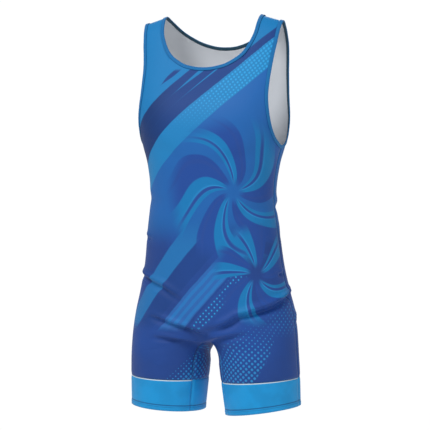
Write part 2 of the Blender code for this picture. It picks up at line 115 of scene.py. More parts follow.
@dataclass
class Figure:
    """The general figure that fills the garment: a trunk of rounded rings and two legs."""

    crotch_drop: float = 0.655  # where the legs' measure starts
    arch_drop: float = 0.640  # the cloth's own lowest point between the legs
    leg_length: float = 0.122
    web_drop: float = 0.030
    tip_y: float = -0.040
    fork_drop: dict[Face, float] = field(default_factory=lambda: {Face.FRONT: 0.575, Face.BACK: 0.560})
    side_fork_drop: float = 0.570
    inseam_angle: float = math.radians(-56)
    shoulder_fall: float = 0.013
    shoulder_reach: float = 0.150
    neck_x: float = 0.099
    print_turn: float = 0.6  # of the way back round the body that the print's distance counts
    line_end: float = 0.6
    leg_print_start: float = 0.60
    leg_print_reach: float = 0.08
    tip_x: float = 0.143
    hem_tilt: dict[Side, float] = field(
        default_factory=lambda: {Side.LEFT: math.radians(8), Side.RIGHT: math.radians(4)}
    )
    # drop, half width, y of the side seam, squareness of the ring
    trunk: Rows = (
        (0.000, 0.158, 0.000, 3.0),
        (0.070, 0.158, 0.000, 3.0),
        (0.110, 0.155, 0.000, 3.0),
        (0.160, 0.151, 0.000, 3.0),
        (0.200, 0.149, 0.000, 2.9),
        (0.230, 0.145, 0.000, 2.7),
        (0.255, 0.140, 0.000, 2.6),
        (0.295, 0.130, -0.002, 2.5),
        (0.355, 0.125, -0.005, 2.4),
        (0.423, 0.133, -0.004, 2.35),
        (0.492, 0.141, 0.001, 2.3),
        (0.542, 0.151, 0.004, 2.3),
        (0.581, 0.161, 0.006, 2.3),
        (0.620, 0.168, 0.006, 2.3),
        (0.660, 0.171, 0.004, 2.3),
    )
    # drop, y of the centre line down the front
    front_line: Rows = (
        (0.000, 0.000),
        (0.006, -0.016),
        (0.022, -0.030),
        (0.050, -0.042),
        (0.080, -0.052),
        (0.105, -0.062),
        (0.140, -0.081),
        (0.175, -0.098),
        (0.210, -0.106),
        (0.250, -0.107),
        (0.300, -0.103),
        (0.350, -0.098),
        (0.400, -0.095),
        (0.450, -0.094),
        (0.500, -0.095),
        (0.540, -0.096),
        (0.600, -0.095),
    )
    # drop, y of the centre line down the back
    back_line: Rows = (
        (0.000, 0.000),
        (0.006, 0.020),
        (0.020, 0.044),
        (0.045, 0.070),
        (0.075, 0.086),
        (0.110, 0.096),
        (0.150, 0.104),
        (0.200, 0.107),
        (0.250, 0.103),
        (0.300, 0.094),
        (0.350, 0.084),
        (0.400, 0.078),
        (0.450, 0.082),
        (0.500, 0.094),
        (0.540, 0.106),
        (0.600, 0.115),
    )
    # below the crotch, x and y of the leg's middle, half width, half depth
    leg: Rows = (
        (-0.100, 0.0830, 0.002, 0.0840, 0.092),
        (0.000, 0.0905, 0.002, 0.0795, 0.090),
        (0.040, 0.0935, 0.004, 0.0785, 0.086),
        (0.080, 0.0965, 0.006, 0.0765, 0.082),
        (0.122, 0.0995, 0.008, 0.0740, 0.078),
    )

    def __post_init__(self) -> None:
        """Keys the trunk's tables by the root of the drop."""
        self.trunk_by_root = rooted(self.trunk)
        self.line_by_root = {Face.FRONT: rooted(self.front_line), Face.BACK: rooted(self.back_line)}

    def on_trunk(self, share: float, level: float) -> Vector:
        """Finds a point of the trunk on the wearer's left.

        Args:
            share: from the centre line (0) to the side seam (1).
            level: the root of the drop, negative on the back.

        Returns:
            The point.
        """
        root = abs(level)
        half_width, seam_y, square = (curve_at(self.trunk_by_root, root, column) for column in (1, 2, 3))
        middle_y = curve_at(self.line_by_root[Face.FRONT if level >= 0 else Face.BACK], root, 1)
        across, along = math.sin(share * math.pi / 2), math.cos(share * math.pi / 2)
        reach = (abs(across) ** square + abs(along) ** square) ** (-1 / square)
        x = half_width * across * reach
        y = seam_y + (middle_y - seam_y) * along * reach
        fall = max(0.0, (x - self.neck_x) / (self.tip_x - self.neck_x))
        fall *= self.shoulder_fall * (1 - smooth(root**2 / self.shoulder_reach))
        return Vector((x, y, -(root**2) - fall))

    def outward(self, share: float, level: float) -> Vector:
        """The direction out of the trunk at that point."""
        by_share = self.on_trunk(share + STEP, level) - self.on_trunk(share - STEP, level)
        by_level = self.on_trunk(share, level + STEP) - self.on_trunk(share, level - STEP)
        return by_level.cross(by_share).normalized()

    def leg_angle(self, face: Face, share: float) -> float:
        """Round the leg from the inseam (0), by the front or the back, to the side seam (1)."""
        return mix(self.inseam_angle, math.pi / 2 if face is Face.FRONT else -1.5 * math.pi, share)

    def on_leg(self, side: Side, angle: float, below: float) -> Vector:
        """Finds a point of a leg, with x positive outwards.

        Args:
            side: which leg.
            angle: round it from straight ahead, positive outwards.
            below: the distance below the crotch.

        Returns:
            The point.
        """
        x, y, half_width, half_depth = (curve_at(self.leg, below, column) for column in (1, 2, 3, 4))
        out = half_width * math.sin(angle)
        lift = math.tan(self.hem_tilt[side]) * out * smooth(below / self.leg_length)
        return Vector((x + out, y - half_depth * math.cos(angle), lift - self.crotch_drop - below))

    def print_x(self, point: Vector, face: Face, side: Side, share: float) -> float:
        """The distance across the print at a point, measured along the cloth from the middle.

        Args:
            point: a point of the skin.
            face: its face.
            side: its side.
            share: its share.

        Returns:
            The distance, positive on the wearer's left.
        """
        drop = -point.z
        line = self.front_line if face is Face.FRONT else self.back_line
        recess = self.print_turn * abs(point.y - curve_at(line, min(drop, self.line_end), 1))
        on_body = abs(point.x) + recess * smooth(drop / 0.10)
        below = drop - self.crotch_drop
        x, half_width = curve_at(self.leg, below, 1), curve_at(self.leg, below, 3)
        angle = self.leg_angle(face, share)
        turned = angle if face is Face.FRONT else -(angle + math.pi)
        on_leg = x + half_width * turned
        leggy = smooth((drop - self.leg_print_start) / self.leg_print_reach)
        return mix(on_body, on_leg, leggy) * side.value


class CutEdge:
    """A neck or armhole edge of the left side, read from the shoulder (0) to the front (1) or back (-1)."""

    SAMPLES = 16  # to each row of the table
    REACH = 0.02  # of a reading, for the edge's direction

    def __init__(self, figure: Figure, rows: Rows, mirror_share: float, cloth_side: int) -> None:
        """Traces the edge.

        Args:
            figure: the form that it lies on.
            rows: drop, share, back (-1) or front (1), from the back over the shoulder.
            mirror_share: the share at which the other half of the edge begins.
            cloth_side: 1 or -1, the side of the edge that the cloth is on.
        """
        self.figure, self.mirror_share, self.cloth_side = figure, mirror_share, cloth_side
        points = [Vector((share, facing * math.sqrt(drop))) for drop, share, facing in rows]
        padded = [self._mirrored(points[1]), *points, self._mirrored(points[-2])]
        self.points = [points[0]]
        for a, b, c, d in zip(padded, padded[1:], padded[2:], padded[3:]):
            for step in range(1, self.SAMPLES + 1):
                t = step / self.SAMPLES
                bend = (2 * a - 5 * b + 4 * c - d) + (3 * b - 3 * c + d - a) * t
                self.points.append(b + 0.5 * t * ((c - a) + bend * t))
        shoulder = next(i for i, row in enumerate(rows) if row[0] == 0) * self.SAMPLES
        solid = [figure.on_trunk(*point) for point in self.points]
        along = [0.0]
        for low, high in zip(solid, solid[1:]):
            along.append(along[-1] + (high - low).length)
        front, back = along[-1] - along[shoulder], along[shoulder]
        self.reading = [(a - back) / (front if a > back else back) for a in along]

    def _mirrored(self, point: Vector) -> Vector:
        """The same point of the other half of the edge, past its end."""
        return Vector((2 * self.mirror_share - point.x, point.y))

    def at(self, reading: float) -> Vector:
        """The share and level at a reading, also a little past either end."""
        if abs(reading) > 1:
            return self._mirrored(self.at(math.copysign(2 - abs(reading), reading)))
        last = len(self.points) - 2
        i = next((i for i in range(last) if reading < self.reading[i + 1]), last)
        span = self.reading[i + 1] - self.reading[i]
        return self.points[i].lerp(self.points[i + 1], (reading - self.reading[i]) / span)

    def inset(self, reading: float, width: float) -> Vector:
        """The share and level that lie a width in from the edge, on the side of the cloth."""
        on = self.figure.on_trunk
        share, level = self.at(reading)
        by_share = (on(share + STEP, level) - on(share - STEP, level)) / (2 * STEP)
        by_level = (on(share, level + STEP) - on(share, level - STEP)) / (2 * STEP)
        ahead = on(*self.at(reading + self.REACH)) - on(*self.at(reading - self.REACH))
        across = by_share.cross(by_level).cross(ahead).normalized() * width * self.cloth_side
        a, b, c = by_share.dot(by_share), by_share.dot(by_level), by_level.dot(by_level)
        d, e = across.dot(by_share), across.dot(by_level)
        whole = a * c - b * b
        return Vector((share + (d * c - e * b) / whole, level + (a * e - b * d) / whole))


# drop, share, back (-1) or front (1)
NECK_EDGE: Rows = (
    (0.058, 0.000, -1),
    (0.055, 0.110, -1),
    (0.044, 0.225, -1),
    (0.026, 0.320, -1),
    (0.008, 0.370, -1),
    (0.000, 0.384, 1),
    (0.020, 0.374, 1),
    (0.045, 0.353, 1),
    (0.075, 0.291, 1),
    (0.095, 0.190, 1),
    (0.103, 0.090, 1),
    (0.105, 0.000, 1),
)
ARMHOLE_EDGE: Rows = (
    (0.256, 1.000, -1),
    (0.251, 0.870, -1),
    (0.237, 0.750, -1),
    (0.208, 0.645, -1),
    (0.170, 0.585, -1),
    (0.130, 0.558, -1),
    (0.080, 0.552, -1),
    (0.040, 0.575, -1),
    (0.000, 0.609, 1),
    (0.040, 0.573, 1),
    (0.080, 0.548, 1),
    (0.130, 0.550, 1),
    (0.170, 0.572, 1),
    (0.208, 0.628, 1),
    (0.237, 0.735, 1),
    (0.251, 0.870, 1),
    (0.256, 1.000, 1),
)


@dataclass(frozen=True)
class Fold:
    """A crease: a trough with a soft lip, along a bent line in turns round the body and drops.

    A turn of 0 is the centre front, 1 the wearer's left side seam, -1 the right one and 2 the
    centre back; on a leg 0 and 2 are the inseam.
    """

    line: tuple[tuple[float, float], ...]
    depth: float
    reach: float
    lip: float = 0.5

    TURN_LENGTH = 0.19  # metres of cloth in a turn, about

    def shift(self, turn: float, drop: float) -> float:
        """How far the fold moves the skin outwards at a point."""
        here = Vector((turn * self.TURN_LENGTH, drop))
        line = [Vector((t * self.TURN_LENGTH, d)) for t, d in self.line]
        whole = sum((b - a).length for a, b in zip(line, line[1:]))
        best, travelled, found = 1.0, 0.0, (0.0, line[0])
        for low, high in zip(line, line[1:]):
            length = (high - low).length
            along = min(1.0, max(0.0, (here - low).dot(high - low) / length**2))
            foot = low.lerp(high, along)
            if (here - foot).length < best:
                best, found = (here - foot).length, ((travelled + along * length) / whole, foot)
            travelled += length
        if best > 5 * self.reach:
            return 0.0
        share, foot = found
        swell = self.depth * math.sin(math.pi * mix(0.10, 0.93, share))
        above = smooth(0.5 + (foot.y - here.y) / self.reach)
        trough = math.exp(-((best / self.reach) ** 2))
        lip = self.lip * above * math.exp(-(((best - 1.6 * self.reach) / self.reach) ** 2))
        return swell * (lip - trough)


FOLDS: tuple[Fold, ...] = (
    # the wearer's left hip, deepest of all, with an upper lip that hangs over it
    Fold(((1.12, 0.545), (0.75, 0.562), (0.50, 0.577), (0.33, 0.588), (0.16, 0.616)), 0.0105, 0.0056, 0.9),
    Fold(((0.98, 0.506), (0.84, 0.508)), 0.0060, 0.0042, 0.6),
    Fold(((0.90, 0.590), (0.62, 0.600), (0.45, 0.612)), 0.0016, 0.0080),
    # the wearer's right hip
    Fold(((-0.85, 0.512), (-0.55, 0.522), (-0.36, 0.534), (-0.17, 0.557)), 0.0085, 0.0058, 0.7),
    Fold(((-0.80, 0.438), (-0.56, 0.441)), 0.0042, 0.0048, 0.5),
    # drag lines from the crotch
    Fold(((-0.42, 0.594), (-0.22, 0.608), (-0.03, 0.620)), 0.0078, 0.0056, 0.6),
    Fold(((-0.40, 0.634), (-0.20, 0.640), (-0.03, 0.650)), 0.0074, 0.0056, 0.6),
    Fold(((0.38, 0.622), (0.20, 0.632), (0.03, 0.645)), 0.0062, 0.0058, 0.5),
    Fold(((0.30, 0.598), (0.14, 0.611), (0.02, 0.622)), 0.0046, 0.0062, 0.5),
    # the web that hangs at the crotch
    Fold(((-0.16, 0.612), (-0.04, 0.628), (0.08, 0.630)), 0.0050, 0.0070, 0.5),
    # long soft pulls over the trunk
    Fold(((0.62, 0.262), (0.30, 0.285), (0.05, 0.300)), 0.0016, 0.0150, 0.4),
    Fold(((-0.60, 0.250), (-0.34, 0.262), (-0.12, 0.290)), 0.0015, 0.0140, 0.4),
    Fold(((0.95, 0.372), (0.55, 0.380), (0.25, 0.398)), 0.0016, 0.0120, 0.4),
    Fold(((-0.95, 0.352), (-0.60, 0.366), (-0.34, 0.370)), 0.0018, 0.0110, 0.4),
    Fold(((0.42, 0.135), (0.22, 0.150), (0.06, 0.158)), 0.0012, 0.0130, 0.4),
    # the back: over the waist, under the seat and down the thighs
    Fold(((1.10, 0.372), (1.50, 0.392), (1.95, 0.398)), 0.0060, 0.0090, 0.6),
    Fold(((-1.12, 0.394), (-1.45, 0.408), (-1.80, 0.420)), 0.0054, 0.0085, 0.6),
    Fold(((1.20, 0.430), (1.60, 0.436), (1.90, 0.448)), 0.0036, 0.0100, 0.5),
    Fold(((1.15, 0.600), (1.45, 0.622), (1.80, 0.640)), 0.0080, 0.0074, 0.7),
    Fold(((-1.10, 0.590), (-1.42, 0.618), (-1.78, 0.638)), 0.0082, 0.0072, 0.7),
    Fold(((1.25, 0.648), (1.55, 0.660), (1.80, 0.668)), 0.0026, 0.0080, 0.5),
    Fold(((-1.30, 0.652), (-1.60, 0.662), (-1.85, 0.670)), 0.0024, 0.0080, 0.5),
    Fold(((1.38, 0.245), (1.58, 0.264), (1.85, 0.276)), 0.0018, 0.0120, 0.4),
    Fold(((-1.40, 0.240), (-1.60, 0.256), (-1.82, 0.262)), 0.0018, 0.0130, 0.4),
)


@dataclass
class Skin:
    """The garment as one open surface, in the quarters that the seams bound."""

    figure: Figure
    neck: CutEdge
    armhole: CutEdge
    tuck: float = 0.0036  # the cloth ends this far inside its tape
    band_height: float = 0.061
    neck_columns: int = 13
    strap_columns: int = 12
    armhole_columns: int = 13
    strap_rows: int = 52
    trunk_rows: int = 132
    fork_rows: int = 34
    web_rows: int = 10
    leg_rows: int = 10
    band_rows: int = 18
    relax_rounds: int = 14
    relax_share: float = 0.4
    seam_dip: float = 0.0009
    seam_reach: float = 0.0035
    hem_depth: float = 0.011
    hem_stand: float = 0.0006
    hem_stitch_dip: float = 0.0009
    neck_foot: dict[Face, float] = field(default_factory=lambda: {Face.FRONT: 0.57, Face.BACK: 0.50})
    armhole_foot: float = 0.62

    def __post_init__(self) -> None:
        """Starts the mesh and its layers."""
        self.columns = self.neck_columns + self.strap_columns + self.armhole_columns
        self.mesh = bmesh.new()
        self.piece = self.mesh.faces.layers.int.new("piece")
        self.turn = self.mesh.verts.layers.float.new("turn")
        self.seam = self.mesh.verts.layers.float.new("seam")
        self.relax = self.mesh.verts.layers.int.new("relax")
        self.across = self.mesh.verts.layers.float.new("across")
        self.hem = self.mesh.verts.layers.float.new("hem")
        self.names = [f"{face.name.lower()}_panel" for face in Face]
        self.names += [f"{face.name.lower()}_leg_band_{side.name.lower()}" for face in Face for side in Side]

    def strap_grid(self, face: Face) -> list[list[tuple[Vector, float]]]:
        """Points and shares from the shoulder seam to the strap's foot."""
        rows = []
        for row in range(self.strap_rows + 1):
            down = face.value * row / self.strap_rows
            left = self.neck.inset(self.neck_foot[face] * down, self.tuck)
            right = self.armhole.inset(self.armhole_foot * down, self.tuck)
            steps = range(self.strap_columns + 1)
            places = [left.lerp(right, column / self.strap_columns) for column in steps]
            rows.append([(self.figure.on_trunk(*place), place.x) for place in places])
        return rows

    def trunk_top(self, face: Face) -> list[Vector]:
        """The shares and levels along the neck's foot, the strap's foot and the underarm."""
        neck = [mix(1, self.neck_foot[face], c / self.neck_columns) for c in range(self.neck_columns + 1)]
        arm = [mix(self.armhole_foot, 1, c / self.armhole_columns) for c in range(self.armhole_columns + 1)]
        top = [self.neck.inset(face.value * reading, self.tuck) for reading in neck]
        under = [self.armhole.inset(face.value * reading, self.tuck) for reading in arm]
        joint = top[-1]
        top += [joint.lerp(under[0], column / self.strap_columns) for column in range(1, self.strap_columns)]
        return top + under

    def trunk_grid(self, face: Face) -> list[list[tuple[Vector, float]]]:
        """Points and shares from the strap's foot to the start of the fork."""
        top, rows = self.trunk_top(face), []
        for row in range(self.trunk_rows + 1):
            down = row / self.trunk_rows
            line = []
            for column, start in enumerate(top):
                share = column / self.columns
                end = mix(self.figure.fork_drop[face], self.figure.side_fork_drop, share)
                level = face.value * math.sqrt(mix(start.y**2, end, down))
                here = mix(start.x, share, down)
                line.append((self.figure.on_trunk(here, level), here))
            rows.append(line)
        return rows

    def crotch_line(self, face: Face, side: Side) -> list[Vector]:
        """The centre line from the fork's start to the crotch, then the inseam down the arch."""
        figure = self.figure
        start = figure.on_trunk(0, face.value * math.sqrt(figure.fork_drop[face]))
        end = figure.on_leg(side, figure.inseam_angle, figure.web_drop)
        line = []
        for row in range(self.fork_rows + 1):
            angle = math.pi / 2 * row / self.fork_rows
            z = mix(start.z, -figure.arch_drop, math.sin(angle))
            line.append(Vector((0, mix(figure.tip_y, start.y, math.cos(angle)), z)))
        for row in range(1, self.web_rows + 1):
            angle = math.pi / 2 * row / self.web_rows
            z = mix(end.z, -figure.arch_drop, math.cos(angle))
            line.append(Vector((end.x * math.sin(angle), mix(figure.tip_y, end.y, math.sin(angle)), z)))
        return line

    def fork_grid(self, face: Face, side: Side) -> list[list[tuple[Vector, float]]]:
        """Points and shares from the trunk's last ring to the leg's first."""
        figure, rows = self.figure, self.fork_rows + self.web_rows
        inner = self.crotch_line(face, side)
        columns: list[list[tuple[Vector, float]]] = []
        pull: list[Vector] = []
        for column in range(self.columns + 1):
            share = column / self.columns
            level = face.value * math.sqrt(mix(figure.fork_drop[face], figure.side_fork_drop, share))
            angle = figure.leg_angle(face, share)
            start, end = figure.on_trunk(share, level), figure.on_leg(side, angle, figure.web_drop)
            length = (end - start).length
            leave = (start - figure.on_trunk(share, level * (1 - STEP))).normalized() * length
            arrive = (figure.on_leg(side, angle, figure.web_drop + STEP) - end).normalized() * length
            curve = [hermite(start, leave, end, arrive, row / rows) for row in range(rows + 1)]
            pull = pull or [fixed - free for fixed, free in zip(inner, curve)]
            fade = 1 - smooth(share / 0.6)
            columns.append([(point + fade * shift, share) for point, shift in zip(curve, pull)])
        return [[column[row] for column in columns] for row in range(1, rows + 1)]

    def leg_grid(self, face: Face, side: Side) -> list[list[tuple[Vector, float]]]:
        """Points and shares down the leg, then down the band to the hem."""
        figure = self.figure
        joint = figure.leg_length - self.band_height
        levels = [mix(figure.web_drop, joint, row / self.leg_rows) for row in range(1, self.leg_rows + 1)]
        band_steps = range(1, self.band_rows + 1)
        levels += [mix(joint, figure.leg_length, row / self.band_rows) for row in band_steps]
        shares = [column / self.columns for column in range(self.columns + 1)]
        return [
            [(figure.on_leg(side, figure.leg_angle(face, share), below), share) for share in shares]
            for below in levels
        ]

    def add_grid(self, rows: list[list[tuple[Vector, float]]], face: Face, side: Side, bands: bool) -> None:
        """Adds a grid through rows of points to the skin.

        Args:
            rows: the points and their shares.
            face: which face they are on.
            side: which side they are on.
            bands: whether the last rows are a leg band and the rows before it a fork.
        """
        last, width = len(rows) - 1, len(rows[0]) - 1
        old_verts, old_faces = set(self.mesh.verts), set(self.mesh.faces)
        bmesh.ops.create_grid(self.mesh, x_segments=width, y_segments=last, size=0.5)
        panel = self.names.index(f"{face.name.lower()}_panel")
        band = self.names.index(f"{face.name.lower()}_leg_band_{side.name.lower()}")
        for polygon in set(self.mesh.faces) - old_faces:
            row = (polygon.calc_center_median().y + 0.5) * last
            polygon[self.piece] = band if bands and row > last - self.band_rows else panel
        for vert in set(self.mesh.verts) - old_verts:
            row, column = round((vert.co.y + 0.5) * last), round((vert.co.x + 0.5) * width)
            point, share = rows[row][column]
            turn = share if face is Face.FRONT else 2 - share
            vert[self.turn] = turn * side.value
            in_fork = self.trunk_rows < row < last - self.band_rows - self.leg_rows
            vert[self.relax] = int(bands and in_fork and column <= width * self.relax_share)
            vert.co = (point.x * side.value, point.y, point.z)
            vert[self.across] = self.figure.print_x(vert.co, face, side, share)
            to_hem = (last - row) / self.band_rows * self.band_height
            vert[self.hem] = to_hem if bands and row >= last - self.band_rows else 1.0

    def build(self) -> None:
        """Welds the quarters, eases the fork and presses in the folds and the seams."""
        for face in Face:
            for side in Side:
                self.add_grid(self.strap_grid(face), face, side, False)
                rows = self.trunk_grid(face) + self.fork_grid(face, side) + self.leg_grid(face, side)
                self.add_grid(rows, face, side, True)
        self.keep_print_apart()
        loose = [v for v in self.mesh.verts if v[self.relax] and not v.is_boundary]
        for _ in range(self.relax_rounds):
            bmesh.ops.smooth_vert(
                self.mesh, verts=loose, factor=0.5, use_axis_x=True, use_axis_y=True, use_axis_z=True
            )
        bmesh.ops.recalc_face_normals(self.mesh, faces=self.mesh.faces)
        self.mesh.normal_update()
        if sum(f.normal.x * f.calc_center_median().x for f in self.mesh.faces) < 0:
            bmesh.ops.reverse_faces(self.mesh, faces=self.mesh.faces)
            self.mesh.normal_update()
        moves = [(v, self.fold_shift(v[self.turn], -v.co.z)) for v in self.mesh.verts]
        for vert, shift in moves:
            vert.co += vert.normal * (shift + self.hem_shift(vert[self.hem]))
        self.mesh.normal_update()
        self.press_seams()

    def keep_print_apart(self) -> None:
        """Welds the quarters, with the print's place across kept for each face of the cloth."""
        uv = self.mesh.loops.layers.uv.new("print")
        for polygon in self.mesh.faces:
            for loop in polygon.loops:
                loop[uv].uv = (loop.vert[self.across], loop.vert.co.z)
        bmesh.ops.remove_doubles(self.mesh, verts=self.mesh.verts, dist=0.00005)

    @staticmethod
    def fold_shift(turn: float, drop: float) -> float:
        """How far all the folds together move the skin outwards at a point."""
        wrapped = turn - 4 if turn > 0 else turn + 4
        near_back = abs(turn) > 1.7
        return sum(f.shift(turn, drop) + (f.shift(wrapped, drop) if near_back else 0.0) for f in FOLDS)

    def hem_shift(self, above: float) -> float:
        """How far the turned-up hem stands out, with the stitches sunk into its top."""
        stand = self.hem_stand * smooth((self.hem_depth + 0.003 - above) / 0.002)
        return stand - self.hem_stitch_dip * math.exp(-(((above - self.hem_depth) / 0.0016) ** 2))

    def press_seams(self) -> None:
        """Sinks the cloth a little along each seam and notes each point's distance from one."""
        seam_verts = [v for v in self.mesh.verts if len({f[self.piece] for f in v.link_faces}) > 1]
        for vert in self.mesh.verts:
            vert[self.seam] = 1.0
        front = set(seam_verts)
        for vert in front:
            vert[self.seam] = 0.0
        for _ in range(4):
            ring = {edge.other_vert(v): v for v in front for edge in v.link_edges}
            grown = set()
            for vert, source in ring.items():
                distance = source[self.seam] + (vert.co - source.co).length
                if distance < vert[self.seam]:
                    vert[self.seam] = distance
                    grown.add(vert)
            front = grown
        for vert in self.mesh.verts:
            near = vert[self.seam] / self.seam_reach
            if near < 3:
                vert.co -= vert.normal * self.seam_dip * math.exp(-(near**2))
        self.mesh.normal_update()

    def cut(self, name: str) -> bmesh.types.BMesh:
        """One cut piece of the skin, as an open mesh of its own."""
        piece = self.mesh.copy()
        layer = piece.faces.layers.int["piece"]
        others = [f for f in piece.faces if f[layer] != self.names.index(name)]
        bmesh.ops.delete(piece, geom=others, context="FACES")
        return piece


def linear(code: str) -> tuple[float, float, float, float]:
    """A screen colour such as "#2b52a2" as linear red, green, blue and alpha."""
    channels = [int(code[i : i + 2], 16) / 255 for i in (1, 3, 5)]
    low = [c / 12.92 if c <= 0.04045 else ((c + 0.055) / 1.055) ** 2.4 for c in channels]
    return (low[0], low[1], low[2], 1.0)


class Term:
    """A node's output, which arithmetic carries on into more nodes."""

    def __init__(self, tree: bpy.types.NodeTree, socket: bpy.types.NodeSocket) -> None:
        """Keeps the tree and the socket."""
        self.tree, self.socket = tree, socket

    def math(self, operation: str, *others: "Term | float") -> "Term":
        """This value put through a step of arithmetic."""
        return add(self.tree, "ShaderNodeMath", self, *others, operation=operation)

    def __add__(self, other: "Term | float") -> "Term":
        """The sum."""
        return self.math("ADD", other)

    def __sub__(self, other: "Term | float") -> "Term":
        """The difference."""
        return self.math("SUBTRACT", other)

    def __mul__(self, other: "Term | float") -> "Term":
        """The product."""
        return self.math("MULTIPLY", other)

    def ramp(self, low: float, high: float) -> "Term":
        """0 below low and 1 above high, with a soft step between; high may be the lower one."""
        if high < low:
            return add(self.tree, "ShaderNodeMath", 1.0, self.ramp(high, low), operation="SUBTRACT")
        return add(self.tree, "ShaderNodeMapRange", self, low, high, interpolation_type="SMOOTHSTEP")

    def between(self, low: float, high: float, soft: float) -> "Term":
        """1 from low to high, with soft edges of that width."""
        return self.ramp(low - soft / 2, low + soft / 2) * self.ramp(high + soft / 2, high - soft / 2)


Feed = Term | float | tuple[float, ...]


def add(
    tree: bpy.types.NodeTree, kind: str, *feeds: Feed | None, output: int = 0, **settings: object
) -> Term:
    """Adds a node to a tree.

    Args:
        tree: the tree.
        kind: the node's type.
        feeds: what goes into its enabled inputs in order; None leaves one alone.
        output: which enabled output is wanted.
        settings: the node's own properties.

    Returns:
        That output.
    """
    node = tree.nodes.new(kind)
    for name, value in settings.items():
        setattr(node, name, value)
    inputs = [socket for socket in node.inputs if socket.enabled]
    for socket, feed in zip(inputs, feeds):
        if isinstance(feed, Term):
            tree.links.new(feed.socket, socket)
        elif feed is not None:
            socket.default_value = feed
    return Term(tree, [socket for socket in node.outputs if socket.enabled][output])


@dataclass(frozen=True)
class Inks:
    """The colours of the print."""

    royal: str = "#2450a2"
    navy: str = "#1b448a"
    azure: str = "#167fc0"
    sky: str = "#2fa6e4"
    teal: str = "#1268a4"
    medium: str = "#2269b6"
    thread: str = "#125a96"


@dataclass(frozen=True)
class Knit:
    """How a knitted or woven cloth takes the light."""

    name: str
    roughness: float
    sheen: float
    specular: float
    wale: float  # metres between the columns of stitches, drawn coarser than life
    relief: float  # metres


# warp-knit nylon and elastane: a satin face with a faint bloom at grazing angles
PRINTED = Knit("printed nylon and elastane knit", 0.50, 0.05, 0.22, 0.0018, 0.00016)
# the same knit, unprinted, seen from within: matt and pale
LINING = Knit("unprinted nylon and elastane knit", 0.70, 0.10, 0.15, 0.0018, 0.00016)
# heavier knit of the leg bands: a little shinier, its ribs standing more
BAND = Knit("leg band nylon and elastane knit", 0.46, 0.05, 0.25, 0.0022, 0.00022)
# folded elastic tape: tight crosswise ribs
TAPE = Knit("folded elastic tape", 0.52, 0.06, 0.20, 0.0016, 0.00020)


class Painter:
    """Builds one procedural material on the print's coordinates, in metres."""

    def __init__(self, name: str, inks: Inks) -> None:
        """Starts the material.

        Args:
            name: its name.
            inks: its colours.
        """
        self.material = bpy.data.materials.new(name)
        self.material.use_nodes = True
        self.tree, self.inks = self.material.node_tree, inks
        self.tree.nodes.clear()
        uv = add(self.tree, "ShaderNodeUVMap", uv_map="print")
        self.place = uv
        self.u = add(self.tree, "ShaderNodeSeparateXYZ", uv)
        self.drop = add(self.tree, "ShaderNodeSeparateXYZ", uv, output=1) * -1.0

    def attribute(self, name: str) -> Term:
        """A number that the mesh holds for each point."""
        return add(self.tree, "ShaderNodeAttribute", attribute_name=name, output=2)

    def noise(self, scale: float, detail: float) -> Term:
        """Soft noise about zero."""
        return add(self.tree, "ShaderNodeTexNoise", self.place, scale, detail, noise_dimensions="2D") - 0.5

    def across(self, degrees: float, rough: float = 0.0) -> Term:
        """The distance across bands that fall to the wearer's right at that angle, with rough edges."""
        angle = math.radians(degrees)
        plain = self.u * math.sin(angle) + self.drop * math.cos(angle)
        return plain + self.noise(38.0, 4.0) * rough if rough else plain

    def dots(self, pitch: float, radius: "Term | float", degrees: float = 41.0) -> Term:
        """Halftone dots on a turned grid, 1 inside a dot."""
        away: Term | None = None
        for turned in (degrees, degrees - 90):
            cell = (self.across(turned) * (1 / pitch)).math("FRACT") - 0.5
            away = cell * cell if away is None else away + cell * cell
        return (away.math("SQRT") - radius).ramp(0.06, -0.06)

    def over(self, ground: "Term | str", ink: str, mask: Term) -> Term:
        """The ground with an ink laid over it through a mask."""
        base = linear(ground) if isinstance(ground, str) else ground
        return add(self.tree, "ShaderNodeMix", mask, base, linear(ink), data_type="RGBA")

    def relief(self, knit: Knit) -> Term:
        """The height of the knit: columns of stitches crossed by finer courses."""
        wale = (self.u * (2 * math.pi / knit.wale)).math("SINE")
        course = (self.drop * (2 * math.pi / (knit.wale * 0.75))).math("SINE")
        return wale * 0.6 + course * 0.4

    def finish(self, knit: Knit, colour: "Term | str", stitches: "Term | None" = None) -> bpy.types.Material:
        """Completes the material.

        Args:
            knit: how the cloth takes the light.
            colour: its colour, a code or a value.
            stitches: 1 on the stitch lines, which sink and darken the cloth.

        Returns:
            The material.
        """
        height = self.relief(knit)
        if stitches is not None:
            colour = self.over(colour, self.inks.thread, stitches * 0.75)
            height = height - stitches * 3.0
        bump = add(self.tree, "ShaderNodeBump").socket.node
        bump.inputs["Strength"].default_value = 0.6
        bump.inputs["Distance"].default_value = knit.relief
        self.tree.links.new(height.socket, bump.inputs["Height"])
        shader = add(self.tree, "ShaderNodeBsdfPrincipled").socket.node
        shader.inputs["Roughness"].default_value = knit.roughness
        shader.inputs["Sheen Weight"].default_value = knit.sheen
        shader.inputs["Sheen Roughness"].default_value = 0.45
        shader.inputs["Specular IOR Level"].default_value = knit.specular
        self.tree.links.new(bump.outputs["Normal"], shader.inputs["Normal"])
        if isinstance(colour, Term):
            self.tree.links.new(colour.socket, shader.inputs["Base Color"])
        else:
            shader.inputs["Base Color"].default_value = linear(colour)
        output = self.tree.nodes.new("ShaderNodeOutputMaterial")
        self.tree.links.new(shader.outputs["BSDF"], output.inputs["Surface"])
        return self.material


